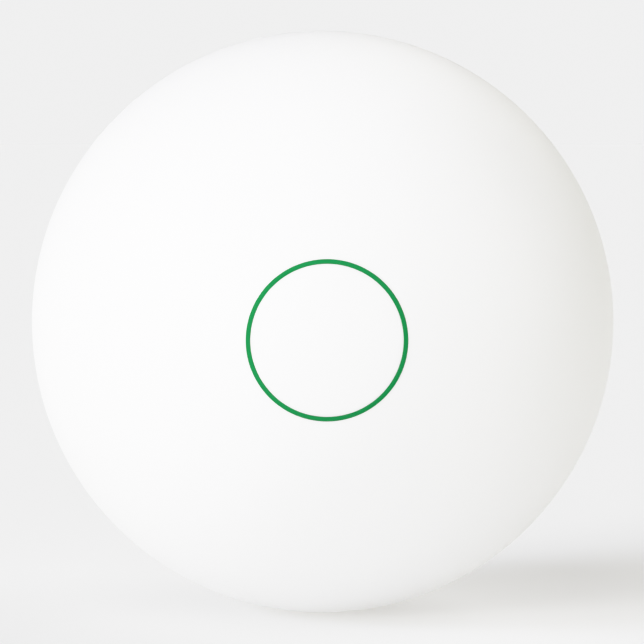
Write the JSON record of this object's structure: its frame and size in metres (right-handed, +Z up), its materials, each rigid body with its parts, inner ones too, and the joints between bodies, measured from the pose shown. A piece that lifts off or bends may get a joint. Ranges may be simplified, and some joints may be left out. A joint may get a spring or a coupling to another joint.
{
  "type": "table tennis ball",
  "caption": "Matt white hollow ball for table tennis, bonded from moulded half shells along one great circle, with a thin green ring printed around one pole.",
  "frame": {"origin": "centre of the ball", "axes": "+Y runs through both poles, from the printed one at -Y to the plain one at +Y, and the seam lies in the plane y = 0. +Z is up, so the printed face looks forward along -Y."},
  "size_m": [0.04, 0.04, 0.04],
  "materials": {
    "shell_plastic": "matte",
    "adhesive": "satin",
    "ring_ink": "matte"
  },
  "bodies": {
    "root": {"front_half_shell": "shell_plastic", "rear_half_shell": "shell_plastic", "seam_adhesive": "adhesive", "printed_ring": "ring_ink"}
  },
  "joints": []
}
